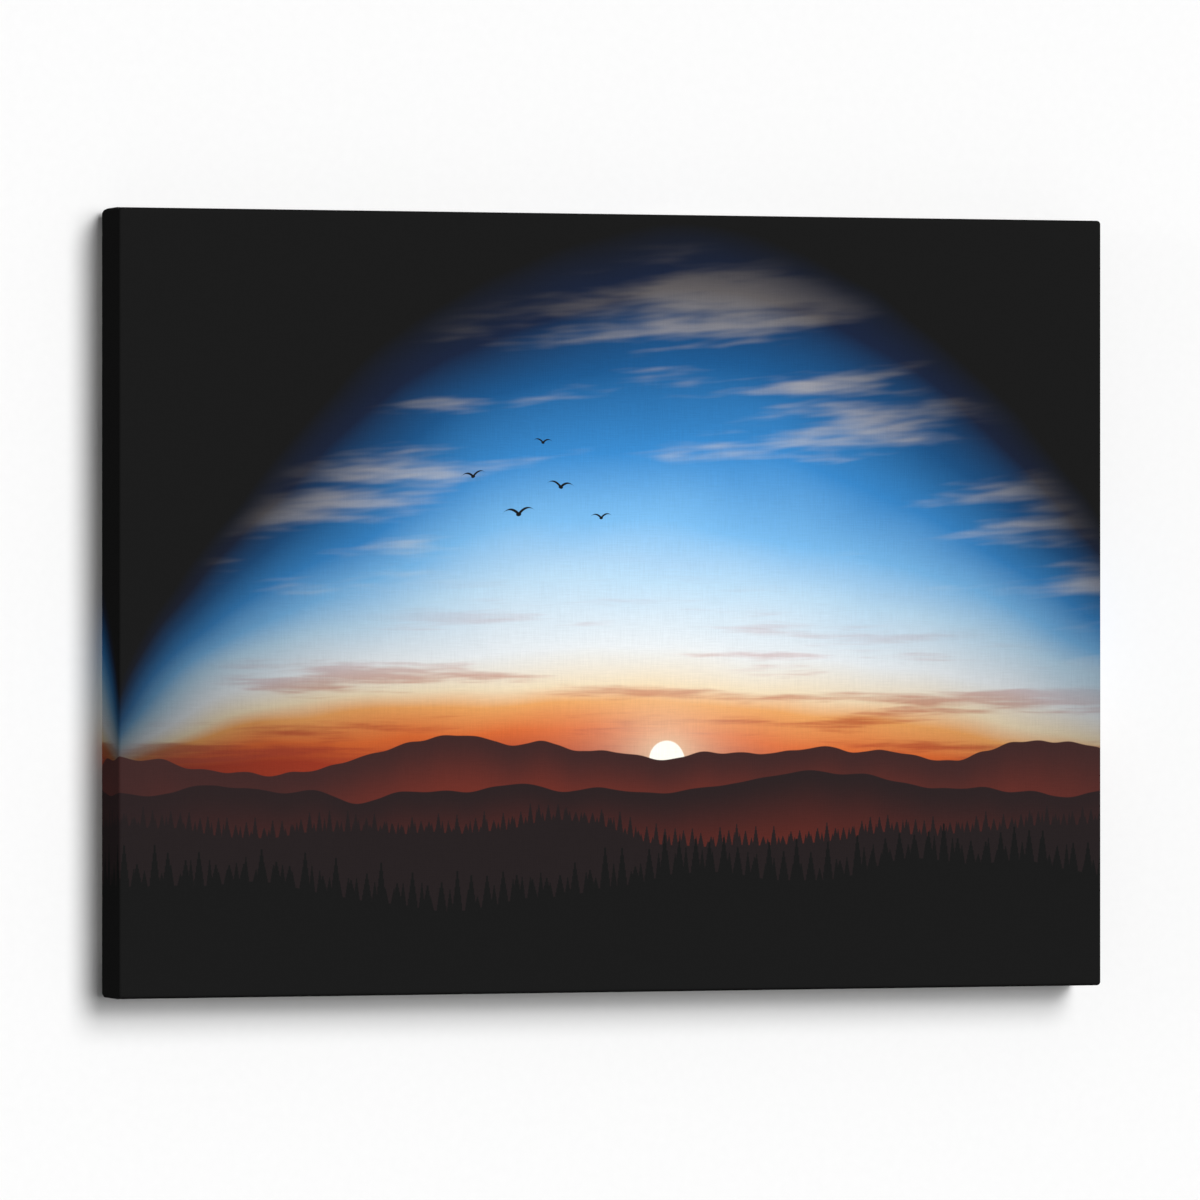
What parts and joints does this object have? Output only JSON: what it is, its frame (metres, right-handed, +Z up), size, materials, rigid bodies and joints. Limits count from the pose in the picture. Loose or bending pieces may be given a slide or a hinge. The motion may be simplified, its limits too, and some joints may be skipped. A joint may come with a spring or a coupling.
{
  "type": "stretched canvas wall print",
  "caption": "Rectangular gallery-wrapped canvas on a keyed wooden stretcher frame, with strap hangers, hinged D-rings and rubber wall dots behind.",
  "frame": {"origin": "on the wall's surface, midway between the two points where the D-rings bear on their wall hooks", "axes": "+X to the viewer's right along the canvas, +Y into the wall, +Z up; the print faces -Y"},
  "size_m": [0.6096, 0.0431, 0.4572],
  "materials": {
    "pine": "planed, unvarnished",
    "key_pine": "sawn, unvarnished",
    "printed_canvas": "primed cotton canvas, matt print",
    "zinc_steel": "bright zinc plate",
    "screw_steel": "yellow zinc plate",
    "rubber": "matt"
  },
  "bodies": {
    "frame": {"bar_top": "pine", "bar_bottom": "pine", "bar_left": "pine", "bar_right": "pine", "key_top_1": "key_pine", "key_top_2": "key_pine", "key_bottom_1": "key_pine", "key_bottom_2": "key_pine", "key_left_1": "key_pine", "key_left_2": "key_pine", "key_right_1": "key_pine", "key_right_2": "key_pine", "canvas": "printed_canvas", "hanger_strap_left": "zinc_steel", "hanger_strap_right": "zinc_steel", "hanger_screw_left": "screw_steel", "hanger_screw_right": "screw_steel", "wall_dot_left": "rubber", "wall_dot_right": "rubber"},
    "ring_left": {"d_ring_left": "zinc_steel"},
    "ring_right": {"d_ring_right": "zinc_steel"}
  },
  "joints": [
    {"name": "ring_left_swing", "type": "hinge", "parent": "frame", "child": "ring_left", "pos_m": [-0.285, -0.00275, -0.0125], "axis": [-1, 0, 0], "range_deg": [0, 172]},
    {"name": "ring_right_swing", "type": "hinge", "parent": "frame", "child": "ring_right", "pos_m": [0.285, -0.00275, -0.0125], "axis": [-1, 0, 0], "range_deg": [0, 172]}
  ]
}
